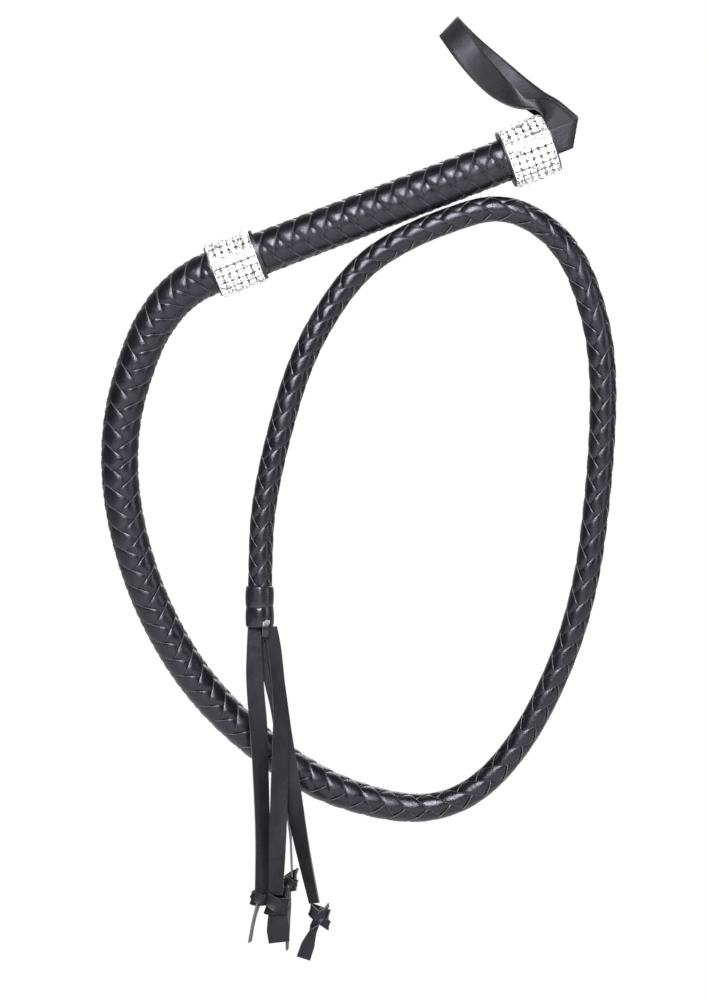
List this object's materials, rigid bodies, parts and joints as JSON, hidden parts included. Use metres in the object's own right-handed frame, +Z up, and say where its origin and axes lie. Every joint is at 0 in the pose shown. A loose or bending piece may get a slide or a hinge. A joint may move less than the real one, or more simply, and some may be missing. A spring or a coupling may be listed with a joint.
{
  "type": "braided bullwhip",
  "caption": "Long plaited whip with a stiff handle between two stone-set collars, a wrist strap, a thong hanging in one big loop and a knotted strip tassel.",
  "frame": {"origin": "on the handle's axis, in the middle of the grip, where the hand closes round it", "axes": "+Z up as the whip hangs from the hand; +X towards the butt's side, with the handle climbing 21 degrees towards +X; +Y away from the viewer, square to the hanging loop"},
  "size_m": [0.3355, 0.0504, 0.6132],
  "materials": {
    "plait_black": "glossy",
    "strap_black": "satin",
    "strip_black": "satin",
    "rod_core": "matte",
    "cord_filler": "matte",
    "band_silver": "polished",
    "stone_clear": "polished"
  },
  "bodies": {
    "handle_and_loop": {"handle_core": "rod_core", "handle_braid": "plait_black", "butt_cap": "strap_black", "heel_collar_sleeve": "strap_black", "heel_collar_band": "band_silver", "heel_collar_stones": "stone_clear", "butt_collar_sleeve": "strap_black", "butt_collar_band": "band_silver", "butt_collar_stones": "stone_clear", "thong_braid": "plait_black", "thong_core": "cord_filler", "strap_root": "strap_black"},
    "free_end": {"tail_braid": "plait_black", "tail_core": "cord_filler", "tip_binding": "plait_black"},
    "wrist_strap": {"wrist_loop": "strap_black"},
    "tassel_middle": {"strip_middle": "strip_black", "knot_middle": "strip_black"},
    "tassel_left": {"strip_left": "strip_black", "knot_left": "strip_black"},
    "tassel_right": {"strip_right": "strip_black", "knot_right": "strip_black"},
    "tassel_slim": {"strip_slim": "strip_black", "knot_slim": "strip_black"}
  },
  "joints": [
    {"name": "free_end_swing", "type": "hinge", "parent": "handle_and_loop", "child": "free_end", "pos_m": [-0.049, 0, -0.0481], "axis": [0, 1, 0], "range_deg": [-15, 10], "stiffness_Nm_per_rad": 0.6, "springref_deg": 4.47},
    {"name": "wrist_strap_swing", "type": "hinge", "parent": "handle_and_loop", "child": "wrist_strap", "pos_m": [0.07049, 0, 0.02706], "axis": [0, 1, 0], "range_deg": [0, 60]},
    {"name": "middle_strip_swing", "type": "hinge", "parent": "free_end", "child": "tassel_middle", "pos_m": [-0.1255, -0.0146, -0.29705], "axis": [1, 0, 0], "range_deg": [-15, 0]},
    {"name": "left_strip_swing", "type": "hinge", "parent": "free_end", "child": "tassel_left", "pos_m": [-0.132, -0.0116, -0.29705], "axis": [0, 1, 0], "range_deg": [0, 20]},
    {"name": "right_strip_swing", "type": "hinge", "parent": "free_end", "child": "tassel_right", "pos_m": [-0.1225, -0.0086, -0.29705], "axis": [0, 1, 0], "range_deg": [-25, 0]},
    {"name": "slim_strip_swing", "type": "hinge", "parent": "free_end", "child": "tassel_slim", "pos_m": [-0.1275, -0.0056, -0.29705], "axis": [0, 1, 0], "range_deg": [-6, 0]}
  ]
}
